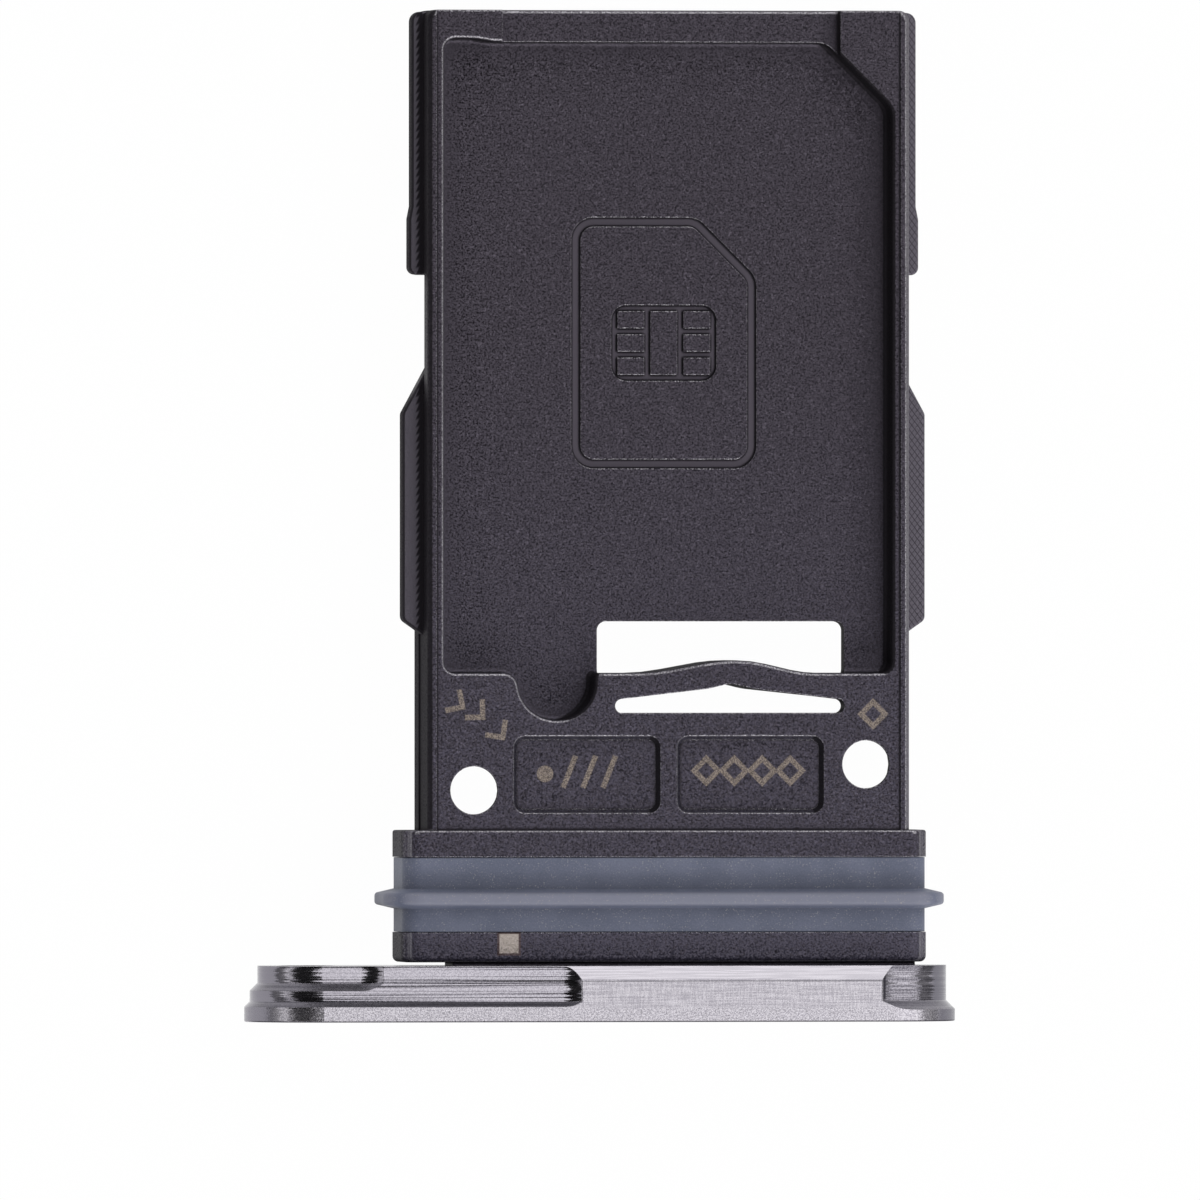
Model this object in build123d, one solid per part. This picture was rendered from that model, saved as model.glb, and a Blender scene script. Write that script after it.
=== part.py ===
"""Card tray for a phone: a metal carrier, a silicone seal and a face plate.

Millimetres. +X is across the tray, +Y is the way it slides in, +Z is up.
The origin lies under the middle of the tray, level with the face plate's lower side.
"""
import os
from math import atan2, cos, degrees, radians, sin, sqrt

from build123d import *

# Card that lies in each pocket
CARD_WIDTH = 8.8
CARD_LENGTH = 12.3
CARD_SIDE_CLEARANCE = 0.08
CARD_END_CLEARANCE = 0.09

# Card pockets, one on each side of a thin web
WEB_THICKNESS = 0.38
POCKET_DEPTH = 0.65
POCKET_CHAMFER = 1.29
POCKET_CHAMFER_ROUND = 0.45
POCKET_CORNER_ROUND = 0.22
POCKET_FLOOR_ROUND = 0.10
POCKET_RIM_ROUND = 0.07
CORNER_RELIEF_LENGTH = 0.60
CORNER_RELIEF_SLOPE = 0.36
CORNER_RELIEF_ROUND = 0.80
CORNER_RELIEF_DEPTH = 0.06

# Rails beside the pockets, each with a low bead along its outer edge
RAIL_WIDTH = 0.34
BEAD_WIDTH = 0.18
BEAD_HEIGHT = 0.04
RAIL_EDGE_ROUND = 0.11
RAIL_END_ROUND = 0.20
PARTING_STEP = 0.03

# Wall at the inner end, lowered between its two corner blocks
END_WALL = 0.63
END_WALL_DROP = 0.30
END_WALL_ROUND = 0.08
LEFT_BLOCK_LENGTH = 1.16
RIGHT_BLOCK_LENGTH = 1.04
BLOCK_CORNER_ROUND = 0.12

# Guide wings along both sides
WING_THICKNESS = 0.44
WING_EDGE_ROUND = 0.05
WING_CORNER_ROUND = 0.15
END_WING_REACH = 0.23
END_WING_LENGTH = 5.23
END_WING_BUMP_REACH = 0.05
END_WING_BUMP_LENGTH = 1.10
END_WING_BUMP_SLOPE = 0.25
MID_WING_REACH = 0.41
MID_WING_START = 7.98
MID_WING_LENGTH = 4.08
MID_WING_LEAD_IN = 0.76
MID_WING_LEAD_OUT = 0.29

# Catch recess between the wings, below the upper edge of the rail
CATCH_DEPTH = 0.18
CATCH_ROOF = 0.50

# Shoulder between the pocket and the collar, with a thumb notch in the pocket's wall
SHOULDER_LENGTH = 3.11
NOTCH_RADIUS = 0.77
NOTCH_INSET = 2.24
NOTCH_DROP = 0.165
NOTCH_LEFT_BLEND = 0.30
NOTCH_RIGHT_BLEND = 0.10

# Window and slit that leave the spring arm between them
ARM_END_INSET = 1.03
ARM_CREST = 0.25
ARM_CREST_SHIFT = 0.31
ARM_RISE_SHARE = 0.75
ARM_FALL_SHARE = 0.78
WINDOW_HEIGHT = 1.02
WINDOW_LEFT_INSET = 0.03
WINDOW_RIGHT_REACH = 0.16
WINDOW_CORNER_ROUND = 0.18
SLIT_DROP = 0.795
SLIT_LEFT_INSET = 0.30
SLIT_RIGHT_REACH = 0.07
SLIT_END_WIDTH = 0.28
SLIT_FOOT_WIDTH = 0.48
SLIT_FOOT_ROUND = 1.50
SLIT_PEAK_WIDTH = 0.59
SLIT_PEAK_HALF = 0.46
SLIT_PEAK_ROUND = 0.30
SLIT_PEAK_SHIFT = -0.10
SLIT_UNDERCUT = 0.20
SLIT_UNDERCUT_DEPTH = 0.50

# Tooling holes, opened out from below
HOLE_RADIUS = 0.475
HOLE_LAND = 0.12
HOLE_FLARE = 0.24
LEFT_HOLE_INSET = 0.93
RIGHT_HOLE_INSET = 0.87
LEFT_HOLE_RISE = 0.79
RIGHT_HOLE_RISE = 1.30

# Shallow code recesses beside each other
CODE_RECESS_LENGTH = 2.94
CODE_RECESS_HEIGHT = 1.54
CODE_RECESS_DEPTH = 0.13
CODE_RECESS_SLOPE = 0.08
CODE_RECESS_GAP = 0.33
CODE_RECESS_ROUND = 0.16
CODE_RECESS_RISE = 0.33

# Engraved card outline and contact pad on the upper pocket's floor
ENGRAVING_DEPTH = 0.08
ENGRAVING_STROKE = 0.18
OUTLINE_WIDTH = 3.70
OUTLINE_LENGTH = 4.97
OUTLINE_CHAMFER = 1.18
OUTLINE_ROUND = 0.45
OUTLINE_SHIFT = 0.29
PAD_WIDTH = 2.10
PAD_LENGTH = 1.50
PAD_ROUND = 0.30
PAD_STROKE = 0.12

# Collar with the seal groove
COLLAR_STEP = 0.43
COLLAR_RISE = 0.08
COLLAR_ROUND = 0.34
COLLAR_SHIFT = -0.065
FRONT_COLLAR_LENGTH = 0.59
REAR_COLLAR_LENGTH = 0.53
COLLAR_EDGE_ROUND = 0.05
COLLAR_FRONT_ROUND = 0.12
SEAL_GROOVE_LENGTH = 1.49
SEAL_GROOVE_DEPTH = 0.30

# Silicone seal
SEAL_SINK = 0.02
SEAL_BOND = 0.01
RIB_PROUD = 0.38
RIB_BASE_WIDTH = 0.40
RIB_TIP_WIDTH = 0.22
RIB_TIP_ROUND = 0.07
RIB_SHIFT = -0.08

# Tongue that ties the carrier to the face plate
TONGUE_LENGTH = 0.60
TONGUE_HEIGHT = 1.10
TONGUE_LEFT_INSET = 1.04
TONGUE_RIGHT_INSET = 0.21
TONGUE_CLEARANCE = 0.03

# Face plate
PLATE_LEFT_OVERHANG = 3.035
PLATE_RIGHT_OVERHANG = 0.665
PLATE_RISE = 0.47
PLATE_DEPTH = 1.11
PLATE_GAP = 0.07
PLATE_FRONT_ROUND = 0.03
PLATE_BEVEL_LENGTH = 0.30
PLATE_BEVEL_DROP = 0.11
RELIEF_OVERCUT = 0.02
LONG_RELIEF_DEPTH = 0.107
LONG_RELIEF_FLANGE = 0.28
LONG_RELIEF_RUN = 4.80
LONG_CUTTER_RADIUS = 0.65
SHORT_RELIEF_DEPTH = 0.26
SHORT_RELIEF_FLANGE = 0.60
SHORT_RELIEF_RUN = 0.78
SHORT_CUTTER_RADIUS = 0.65
RIGHT_RELIEF_DEPTH = 0.175
RIGHT_RELIEF_FLANGE = 0.22
RIGHT_RELIEF_TURN = 12.0
RIGHT_CUTTER_RADIUS = 1.90

# Eject-pin hole in the face plate
EJECT_RADIUS = 0.56
EJECT_INSET = 1.24
EJECT_RIM_ROUND = 0.05

# Lengths that follow from the driving sizes
pocket_half = CARD_WIDTH / 2 + CARD_SIDE_CLEARANCE
pocket_length = CARD_LENGTH + 2 * CARD_END_CLEARANCE
rail_half = pocket_half + RAIL_WIDTH
floor_z = WEB_THICKNESS / 2
land_z = floor_z + POCKET_DEPTH
top_z = land_z + BEAD_HEIGHT
collar_width = 2 * (rail_half + COLLAR_STEP)
collar_height = 2 * (land_z + COLLAR_RISE)
plate_width = PLATE_LEFT_OVERHANG + collar_width + PLATE_RIGHT_OVERHANG
plate_height = collar_height + 2 * PLATE_RISE
mid_z = plate_height / 2
carrier_x = (PLATE_LEFT_OVERHANG - PLATE_RIGHT_OVERHANG) / 2 - COLLAR_SHIFT
behind_plate = PLATE_GAP + FRONT_COLLAR_LENGTH + SEAL_GROOVE_LENGTH + REAR_COLLAR_LENGTH
overall_length = PLATE_DEPTH + behind_plate + SHOULDER_LENGTH + pocket_length + END_WALL

# Stations along the tray, from the outer face inwards
plate_front_y = -overall_length / 2
plate_rear_y = plate_front_y + PLATE_DEPTH
collar_front_y = plate_rear_y + PLATE_GAP
groove_front_y = collar_front_y + FRONT_COLLAR_LENGTH
groove_rear_y = groove_front_y + SEAL_GROOVE_LENGTH
collar_rear_y = groove_rear_y + REAR_COLLAR_LENGTH
pocket_low_y = collar_rear_y + SHOULDER_LENGTH
pocket_high_y = pocket_low_y + pocket_length
end_y = pocket_high_y + END_WALL

# Stations across the carrier, from its middle
collar_left_x = COLLAR_SHIFT - collar_width / 2
collar_right_x = COLLAR_SHIFT + collar_width / 2
notch_x = NOTCH_INSET - pocket_half
notch_y = pocket_low_y - NOTCH_DROP
arm_left_x = notch_x + sqrt((NOTCH_RADIUS + NOTCH_RIGHT_BLEND) ** 2 - (NOTCH_RIGHT_BLEND - NOTCH_DROP) ** 2)
arm_right_x = pocket_half - ARM_END_INSET
crest_x = (arm_left_x + arm_right_x) / 2 + ARM_CREST_SHIFT

# How far a cut runs past the face that it opens, and a joined solid into its neighbour
OVERRUN = 0.5
LAP = 0.2


def raised(face, low, high):
    """A flat outline made solid from one height to another."""
    return extrude(Pos(0, 0, low) * face, amount=high - low, dir=(0, 0, 1))


def lengthwise(face, start, stop):
    """A cross-section, drawn about the tray's middle height, made solid along the tray."""
    section = Plane(origin=(0, start, 0), x_dir=(1, 0, 0), z_dir=(0, 1, 0))
    return extrude(section * face, amount=stop - start)


def both_faces(cut):
    """The same cut in the upper and the lower side of the carrier."""
    return [cut, mirror(cut, about=Plane.XY)]


def both_sides(solid):
    """The same solid on the left and the right of the carrier."""
    return [solid, mirror(solid, about=Plane.YZ)]


def edges_at_height(solid, height):
    """Edges that lie flat at one height."""
    return solid.edges().filter_by_position(Axis.Z, height, height)


def pocket_outline():
    """Card pocket in plan: chamfered corner, corner relief, thumb notch and the spring arm's edge."""
    relief_x = CORNER_RELIEF_LENGTH - pocket_half
    notch = Vector(notch_x, notch_y)
    left_reach = sqrt((NOTCH_RADIUS + NOTCH_LEFT_BLEND) ** 2 - (NOTCH_LEFT_BLEND - NOTCH_DROP) ** 2)
    left_blend = Vector(notch_x - left_reach, pocket_low_y - NOTCH_LEFT_BLEND)
    right_blend = Vector(arm_left_x, pocket_low_y - NOTCH_RIGHT_BLEND)
    left_angle = degrees(atan2(left_blend.Y - notch.Y, left_blend.X - notch.X)) % 360
    right_angle = degrees(atan2(right_blend.Y - notch.Y, right_blend.X - notch.X)) % 360
    fall_end = (crest_x + ARM_FALL_SHARE * (arm_right_x - crest_x), pocket_low_y)
    walls = FilletPolyline(
        fall_end,
        (pocket_half, pocket_low_y),
        (pocket_half, pocket_high_y - POCKET_CHAMFER),
        (pocket_half - POCKET_CHAMFER, pocket_high_y),
        (relief_x + CORNER_RELIEF_SLOPE, pocket_high_y),
        (relief_x, pocket_high_y + CORNER_RELIEF_DEPTH),
        (-pocket_half, pocket_high_y + CORNER_RELIEF_DEPTH),
        (-pocket_half, pocket_low_y),
        (left_blend.X, pocket_low_y),
        radius=[
            POCKET_CORNER_ROUND,
            POCKET_CHAMFER_ROUND,
            POCKET_CHAMFER_ROUND,
            CORNER_RELIEF_ROUND,
            CORNER_RELIEF_ROUND,
            POCKET_CORNER_ROUND,
            POCKET_CORNER_ROUND,
        ],
    )
    blend_in = CenterArc(left_blend, NOTCH_LEFT_BLEND, 90, left_angle - 270)
    bowl = CenterArc(notch, NOTCH_RADIUS, left_angle, right_angle + 360 - left_angle)
    blend_out = CenterArc(right_blend, NOTCH_RIGHT_BLEND, right_angle + 180, -90 - right_angle)
    crest = (crest_x, pocket_low_y + ARM_CREST)
    rise_start = (crest_x - ARM_RISE_SHARE * (crest_x - arm_left_x), pocket_low_y)
    arm_foot = Line(blend_out @ 1, rise_start)
    arm_rise = Spline(rise_start, crest, tangents=[(1, 0), (1, 0)])
    arm_fall = Spline(crest, fall_end, tangents=[(1, 0), (1, 0)])
    return make_face([walls, blend_in, bowl, blend_out, arm_foot, arm_rise, arm_fall])


def window_outline():
    """Opening through the web in front of the spring arm, closed below by the arm's edge."""
    left = arm_left_x + WINDOW_LEFT_INSET
    right = arm_right_x + WINDOW_RIGHT_REACH
    opening = RectangleRounded(right - left, 2 * WINDOW_HEIGHT, WINDOW_CORNER_ROUND)
    return Pos((left + right) / 2, pocket_low_y) * opening & pocket_outline()


def slit_outline(extra_length):
    """Slit behind the spring arm: straight below, sloped above, with a small peak behind the crest."""
    low = pocket_low_y - SLIT_DROP
    half_width = SLIT_END_WIDTH / 2
    left_end = arm_left_x + SLIT_LEFT_INSET
    right_end = arm_right_x + SLIT_RIGHT_REACH + extra_length
    left = left_end + half_width
    right = right_end - half_width
    peak_x = crest_x + SLIT_PEAK_SHIFT
    upper = FilletPolyline(
        (left, low + SLIT_END_WIDTH),
        (peak_x - SLIT_PEAK_HALF, low + SLIT_FOOT_WIDTH),
        (peak_x, low + SLIT_PEAK_WIDTH),
        (peak_x + SLIT_PEAK_HALF, low + SLIT_FOOT_WIDTH),
        (right, low + SLIT_END_WIDTH),
        radius=[SLIT_FOOT_ROUND, SLIT_PEAK_ROUND, SLIT_FOOT_ROUND],
    )
    round_right = ThreePointArc(upper @ 1, (right_end, low + half_width), (right, low))
    lower = Line((right, low), (left, low))
    round_left = ThreePointArc((left, low), (left_end, low + half_width), upper @ 0)
    return make_face([upper, round_right, lower, round_left])


def rail_slab():
    """Solid body of the carrier before its cuts, with the mould's parting step along its sides."""
    split_z = -WING_THICKNESS / 2
    start_y = collar_rear_y - LAP
    length = end_y - start_y

    def half(half_width, low, high, rounded_z):
        blank = Pos(0, start_y + length / 2) * Rectangle(2 * half_width, length)
        ends = blank.vertices().group_by(Axis.Y)[-1]
        solid = raised(fillet(ends, RAIL_END_ROUND), low, high)
        rim = edges_at_height(solid, rounded_z).filter_by(lambda edge: edge.center().Y > start_y + LAP)
        return fillet(rim, RAIL_EDGE_ROUND)

    upper = half(rail_half, split_z, top_z, top_z)
    lower = half(rail_half + PARTING_STEP, -top_z, split_z, -top_z)
    return upper + lower


def end_wing():
    """Wing beside the inner half of the pocket, with a shallow bump at its outer end."""
    reach = rail_half + END_WING_REACH
    bump = reach + END_WING_BUMP_REACH
    low_y = end_y - END_WING_LENGTH
    outline = FilletPolyline(
        (rail_half - LAP, end_y - PARTING_STEP),
        (reach, end_y - PARTING_STEP),
        (reach, low_y + END_WING_BUMP_LENGTH + END_WING_BUMP_SLOPE),
        (bump, low_y + END_WING_BUMP_LENGTH),
        (bump, low_y),
        (rail_half - LAP, low_y),
        radius=[RAIL_END_ROUND, WING_CORNER_ROUND, WING_CORNER_ROUND, WING_CORNER_ROUND],
    )
    root = Line(outline @ 1, outline @ 0)
    return make_face([outline, root])


def mid_wing():
    """Wing beside the outer half of the pocket, with a long lead-in and a short lead-out."""
    high_y = end_y - MID_WING_START
    low_y = high_y - MID_WING_LENGTH
    reach = rail_half + MID_WING_REACH
    inner = rail_half - LAP
    lead_in = MID_WING_LEAD_IN * (MID_WING_REACH + LAP) / MID_WING_REACH
    lead_out = MID_WING_LEAD_OUT * (MID_WING_REACH + LAP) / MID_WING_REACH
    outline = FilletPolyline(
        (inner, high_y + lead_in),
        (reach, high_y),
        (reach, low_y),
        (inner, low_y - lead_out),
        radius=[WING_CORNER_ROUND, WING_CORNER_ROUND],
    )
    root = Line(outline @ 1, outline @ 0)
    return make_face([outline, root])


def wing_solid(outline):
    """One wing, level with the middle of the carrier, with its outer edges broken."""
    half = WING_THICKNESS / 2
    solid = raised(outline, -half, half)
    outer = solid.edges().filter_by(lambda edge: edge.center().X > rail_half - LAP / 2)
    flat = outer.filter_by_position(Axis.Z, half, half) + outer.filter_by_position(Axis.Z, -half, -half)
    return fillet(flat, WING_EDGE_ROUND)


def catch_recess():
    """Cut below the rail's upper edge, between the two wings of one side."""
    high_y = end_y - END_WING_LENGTH
    low_y = end_y - MID_WING_START + MID_WING_LEAD_IN / 2
    inner = rail_half - CATCH_DEPTH
    outer = rail_half + OVERRUN
    face = Pos((inner + outer) / 2, (high_y + low_y) / 2) * Rectangle(outer - inner, high_y - low_y)
    return raised(face, -top_z - OVERRUN, top_z - CATCH_ROOF)


def land_recess():
    """Shallow cut that leaves a low bead along the outer edge of each rail."""
    high_y = end_y + OVERRUN
    low_y = collar_rear_y - LAP
    face = Pos(0, (high_y + low_y) / 2) * Rectangle(2 * (rail_half - BEAD_WIDTH), high_y - low_y)
    return raised(face, land_z, top_z + OVERRUN)


def end_wall_cut():
    """Lowered stretch of the inner end wall between its two corner blocks, with a rounded outer edge."""
    wall_z = land_z - END_WALL_DROP
    left = LEFT_BLOCK_LENGTH - pocket_half
    right = pocket_half - RIGHT_BLOCK_LENGTH
    low_y = pocket_high_y - POCKET_CHAMFER
    middle = (left + right) / 2
    gap = Pos(middle, (low_y + end_y) / 2) * Rectangle(right - left, end_y - low_y)
    mouth = Pos(middle, end_y + OVERRUN / 2) * Rectangle(right - left + 2 * OVERRUN, OVERRUN)
    outline = gap + mouth
    block_corners = outline.vertices().filter_by_position(Axis.Y, end_y, end_y).sort_by(Axis.X)[1:3]
    outline = fillet(block_corners, BLOCK_CORNER_ROUND)
    round_centre = Pos(end_y - END_WALL_ROUND, wall_z - END_WALL_ROUND)
    square = Rectangle(END_WALL_ROUND + OVERRUN, END_WALL_ROUND + LAP, align=(Align.MIN, Align.MIN))
    edge_section = round_centre * (square - Circle(END_WALL_ROUND))
    across = Plane(origin=(left, 0, 0), x_dir=(0, 1, 0), z_dir=(1, 0, 0))
    rounded_edge = extrude(across * edge_section, amount=right - left)
    return raised(outline, wall_z, top_z + OVERRUN) + rounded_edge


def pocket_cut():
    """Space for one card, with a rounded corner all round its floor."""
    solid = raised(pocket_outline(), floor_z, top_z + OVERRUN)
    return fillet(edges_at_height(solid, floor_z), POCKET_FLOOR_ROUND)


def tooling_hole(x, rise):
    """Round hole with a short straight land at the top that opens out towards the underside."""
    centre = (x, collar_rear_y + rise)
    taper_z = land_z - HOLE_LAND
    straight = raised(Pos(*centre) * Circle(HOLE_RADIUS), taper_z - LAP / 2, top_z + OVERRUN)
    top_ring = Pos(0, 0, taper_z) * Pos(*centre) * Circle(HOLE_RADIUS)
    low_ring = Pos(0, 0, -top_z) * Pos(*centre) * Circle(HOLE_RADIUS + HOLE_FLARE)
    return straight + loft([low_ring, top_ring])


def code_recesses():
    """Two shallow recesses for codes, side by side next to the collar, with sloped walls."""
    pitch = CODE_RECESS_LENGTH + CODE_RECESS_GAP
    centre_y = collar_rear_y + CODE_RECESS_RISE + CODE_RECESS_HEIGHT / 2
    floor_length = CODE_RECESS_LENGTH - 2 * CODE_RECESS_SLOPE
    floor_height = CODE_RECESS_HEIGHT - 2 * CODE_RECESS_SLOPE
    mouth = RectangleRounded(CODE_RECESS_LENGTH, CODE_RECESS_HEIGHT, CODE_RECESS_ROUND + CODE_RECESS_SLOPE)
    floor = RectangleRounded(floor_length, floor_height, CODE_RECESS_ROUND)

    def recess(place):
        at_floor = Pos(0, centre_y, land_z - CODE_RECESS_DEPTH) * place
        at_mouth = Pos(0, centre_y, land_z) * place
        return loft([at_floor * floor, at_mouth * mouth]) + extrude(at_mouth * mouth, amount=OVERRUN)

    return [recess(place) for place in GridLocations(pitch, 0, 2, 1)]


def card_engraving():
    """Engraved card outline on the pocket's floor, with a plain contact pad inside it."""
    half_width = OUTLINE_WIDTH / 2
    half_length = OUTLINE_LENGTH / 2
    outline = make_face(
        FilletPolyline(
            (half_width, -half_length),
            (half_width, half_length - OUTLINE_CHAMFER),
            (half_width - OUTLINE_CHAMFER, half_length),
            (-half_width, half_length),
            (-half_width, -half_length),
            radius=OUTLINE_ROUND,
            close=True,
        )
    )
    card = outline - offset(outline, -ENGRAVING_STROKE)
    pad = RectangleRounded(PAD_WIDTH, PAD_LENGTH, PAD_ROUND)
    field_width = (PAD_WIDTH - 4 * PAD_STROKE) / 3
    field_length = (PAD_LENGTH - 4 * PAD_STROKE) / 3
    pitch_x = field_width + PAD_STROKE
    pitch_y = field_length + PAD_STROKE
    fields = GridLocations(2 * pitch_x, pitch_y, 2, 3) * Rectangle(field_width, field_length)
    middle = Rectangle(field_width, PAD_LENGTH - 2 * PAD_STROKE)
    lines = pad - fields - middle
    centre_y = (pocket_low_y + pocket_high_y) / 2 + OUTLINE_SHIFT
    return raised(Pos(0, centre_y) * (card + lines), floor_z - ENGRAVING_DEPTH, floor_z + LAP)


def collar():
    """Two flanges with the seal's groove between them, and the tongue for the face plate."""
    section = Pos(COLLAR_SHIFT, 0) * RectangleRounded(collar_width, collar_height, COLLAR_ROUND)
    rear = lengthwise(section, groove_rear_y, collar_rear_y)
    rear = fillet(rear.edges().group_by(Axis.Y)[-1], COLLAR_EDGE_ROUND)
    front = lengthwise(section, collar_front_y, groove_front_y)
    front = fillet(front.edges().group_by(Axis.Y)[0], COLLAR_FRONT_ROUND)
    core = lengthwise(core_section(), groove_front_y - LAP, groove_rear_y + LAP)
    tongue_y = plate_rear_y - TONGUE_LENGTH
    tongue = lengthwise(tongue_section(0), tongue_y, collar_front_y + LAP)
    return rear + front + core + tongue


def core_section():
    """Section of the collar at the bottom of the seal's groove."""
    width = collar_width - 2 * SEAL_GROOVE_DEPTH
    height = collar_height - 2 * SEAL_GROOVE_DEPTH
    return Pos(COLLAR_SHIFT, 0) * RectangleRounded(width, height, COLLAR_ROUND / 2)


def tongue_section(clearance):
    """Section of the tongue, or of its socket when a clearance is given."""
    left = collar_left_x + TONGUE_LEFT_INSET
    right = collar_right_x - TONGUE_RIGHT_INSET
    width = right - left + 2 * clearance
    return Pos((left + right) / 2, 0) * Rectangle(width, TONGUE_HEIGHT + 2 * clearance)


def pocketed_slab():
    """Slab with both pockets sunk in it and the rims of the pockets rounded."""
    body = rail_slab()
    for recess in both_sides(catch_recess()):
        body -= recess
    for cut in both_faces(land_recess()) + both_faces(pocket_cut()):
        body -= cut
    rims = edges_at_height(body, land_z) + edges_at_height(body, -land_z)
    rims = rims.filter_by(
        lambda edge: abs(edge.center().X) < pocket_half + POCKET_RIM_ROUND
        and collar_rear_y < edge.center().Y < pocket_high_y + CORNER_RELIEF_DEPTH + POCKET_RIM_ROUND
    )
    return fillet(rims, POCKET_RIM_ROUND)


def carrier():
    """Card carrier: pocketed slab, wings and collar, then its openings, recesses and engraving."""
    body = pocketed_slab()
    for cut in both_faces(end_wall_cut()):
        body -= cut
    for wing in both_sides(wing_solid(end_wing())) + both_sides(wing_solid(mid_wing())):
        body += wing
    body += collar()
    below = -top_z - OVERRUN
    body -= raised(window_outline(), below, top_z + OVERRUN)
    body -= raised(slit_outline(0), below, top_z + OVERRUN)
    body -= raised(slit_outline(SLIT_UNDERCUT), below, land_z - SLIT_UNDERCUT_DEPTH)
    body -= tooling_hole(LEFT_HOLE_INSET - rail_half, LEFT_HOLE_RISE)
    body -= tooling_hole(rail_half - RIGHT_HOLE_INSET, RIGHT_HOLE_RISE)
    for recess in code_recesses():
        body -= recess
    body -= card_engraving()
    return Pos(carrier_x, 0, mid_z) * body


def seal():
    """Silicone ring that fills the collar's groove, with one tapered rib round it."""
    base_width = collar_width - 2 * SEAL_SINK
    base_height = collar_height - 2 * SEAL_SINK
    base = Pos(COLLAR_SHIFT, 0) * RectangleRounded(base_width, base_height, COLLAR_ROUND)
    ring = lengthwise(base, groove_front_y + SEAL_BOND, groove_rear_y - SEAL_BOND)
    tip_round = COLLAR_ROUND + RIB_PROUD
    tip = RectangleRounded(base_width + 2 * RIB_PROUD, base_height + 2 * RIB_PROUD, tip_round)
    rib_y = (groove_front_y + groove_rear_y) / 2 + RIB_SHIFT

    def station(face, y):
        return Plane(origin=(COLLAR_SHIFT, y, 0), x_dir=(1, 0, 0), z_dir=(0, 1, 0)) * face

    foot = RectangleRounded(base_width - LAP, base_height - LAP, COLLAR_ROUND - LAP / 2)
    foot_y = RIB_TIP_WIDTH / 2 + (RIB_BASE_WIDTH - RIB_TIP_WIDTH) / 2 * (RIB_PROUD + LAP / 2) / RIB_PROUD
    crest = extrude(station(tip, rib_y - RIB_TIP_WIDTH / 2), amount=RIB_TIP_WIDTH)
    rear = loft([station(tip, rib_y + RIB_TIP_WIDTH / 2), station(foot, rib_y + foot_y)])
    front = loft([station(foot, rib_y - foot_y), station(tip, rib_y - RIB_TIP_WIDTH / 2)])
    rib = crest + rear + front
    crest_edges = rib.edges().filter_by(
        lambda edge: abs(abs(edge.center().Y - rib_y) - RIB_TIP_WIDTH / 2) < SEAL_BOND
    )
    rib = fillet(crest_edges, RIB_TIP_ROUND)
    bore = offset(core_section(), SEAL_BOND)
    ring = ring + rib - lengthwise(bore, groove_front_y - LAP, groove_rear_y + LAP)
    return Pos(carrier_x, 0, mid_z) * ring


def end_relief(depth, slope, flange, radius, run=0.0, turn=0.0):
    """Milled step round the right end of the plate, with the round run-out that the cutter leaves.

    The run-out starts a run along the straight sides, or a turn round the end, from where they meet.
    """
    inset = SlotOverall(plate_width - 2 * depth, plate_height - 2 * depth)
    inset_radius = plate_height / 2 - depth
    corner_x = (plate_width - plate_height) / 2 - run
    stop_x = corner_x + inset_radius * sin(radians(turn))
    reach = plate_width / 2 + OVERRUN - stop_x
    zone = Pos(stop_x + reach / 2, 0) * Rectangle(reach, plate_height + 4 * radius) - inset
    disc_x = corner_x + (inset_radius + radius) * sin(radians(turn))
    disc_z = (inset_radius + radius) * cos(radians(turn))
    discs = Pos(disc_x, disc_z) * Circle(radius) + Pos(disc_x, -disc_z) * Circle(radius)
    cutter = lengthwise(zone + discs, plate_front_y + flange, plate_rear_y + OVERRUN)
    tip_edges = cutter.edges().group_by(Axis.Y)[0]
    inner = tip_edges.filter_by(
        lambda edge: abs(edge.center().X) < plate_width / 2 and abs(edge.center().Z) < plate_height / 2
    )
    return chamfer(inner, slope)


def plate_reliefs():
    """Two steps round the end with the eject-pin hole, and one round the other end."""
    long_slope = LONG_RELIEF_DEPTH + RELIEF_OVERCUT
    short_slope = SHORT_RELIEF_DEPTH - LONG_RELIEF_DEPTH + RELIEF_OVERCUT
    right_slope = RIGHT_RELIEF_DEPTH + RELIEF_OVERCUT
    long_cut = end_relief(
        LONG_RELIEF_DEPTH, long_slope, LONG_RELIEF_FLANGE, LONG_CUTTER_RADIUS, run=LONG_RELIEF_RUN
    )
    short_cut = end_relief(
        SHORT_RELIEF_DEPTH, short_slope, SHORT_RELIEF_FLANGE, SHORT_CUTTER_RADIUS, run=SHORT_RELIEF_RUN
    )
    right_cut = end_relief(
        RIGHT_RELIEF_DEPTH, right_slope, RIGHT_RELIEF_FLANGE, RIGHT_CUTTER_RADIUS, turn=RIGHT_RELIEF_TURN
    )
    return [mirror(long_cut, about=Plane.YZ), mirror(short_cut, about=Plane.YZ), right_cut]


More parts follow.
